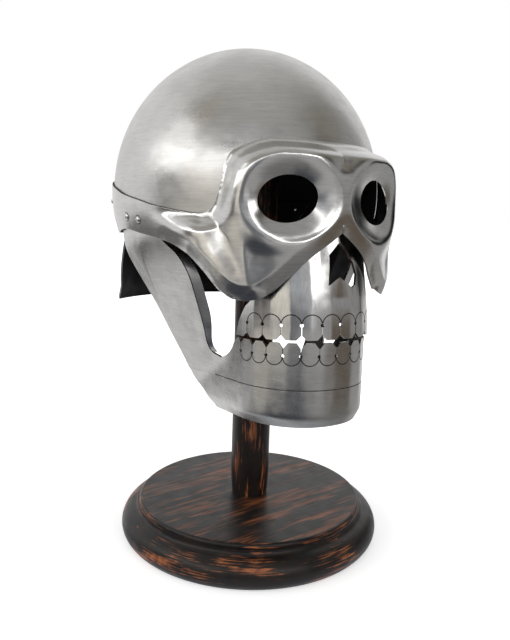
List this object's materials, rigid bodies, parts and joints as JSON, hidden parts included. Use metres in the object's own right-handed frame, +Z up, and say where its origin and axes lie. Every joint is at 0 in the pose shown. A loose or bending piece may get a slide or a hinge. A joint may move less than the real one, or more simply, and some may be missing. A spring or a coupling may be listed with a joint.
{
  "type": "steel face helmet",
  "caption": "Full-face steel helmet shaped as a skull, with an embossed mask, cut teeth and a riveted jaw, resting on a turned wooden stand.",
  "frame": {"origin": "centre of the stand's foot, on the surface that it stands on", "axes": "+Z up, -Y the way the face looks, -X the wearer's right side"},
  "size_m": [0.2132, 0.2579, 0.3877],
  "materials": {
    "polished_steel": "polished",
    "brushed_steel": "satin",
    "rivet_steel": "polished",
    "screw_steel": "satin",
    "liner_leather": "matte",
    "cord": "matte",
    "dark_wood": "satin varnish"
  },
  "bodies": {
    "stand": {"stand_base": "dark_wood", "stand_post": "dark_wood", "stand_head": "dark_wood", "base_screw": "screw_steel", "head_screw": "screw_steel"},
    "helmet": {"skull_bowl": "polished_steel", "face_mask": "polished_steel", "upper_jaw_plate": "brushed_steel", "mandible": "brushed_steel", "chin_band": "brushed_steel", "neck_guard": "brushed_steel", "temple_rivets_right": "rivet_steel", "temple_rivets_left": "rivet_steel", "neck_guard_rivets": "rivet_steel", "nose_pin": "rivet_steel", "liner_headband": "liner_leather", "liner_crown": "liner_leather", "liner_drawcord": "cord"}
  },
  "joints": [
    {"name": "helmet_lift", "type": "slide", "parent": "stand", "child": "helmet", "axis": [0, 0, 1], "range_m": [0, 0.3]}
  ]
}
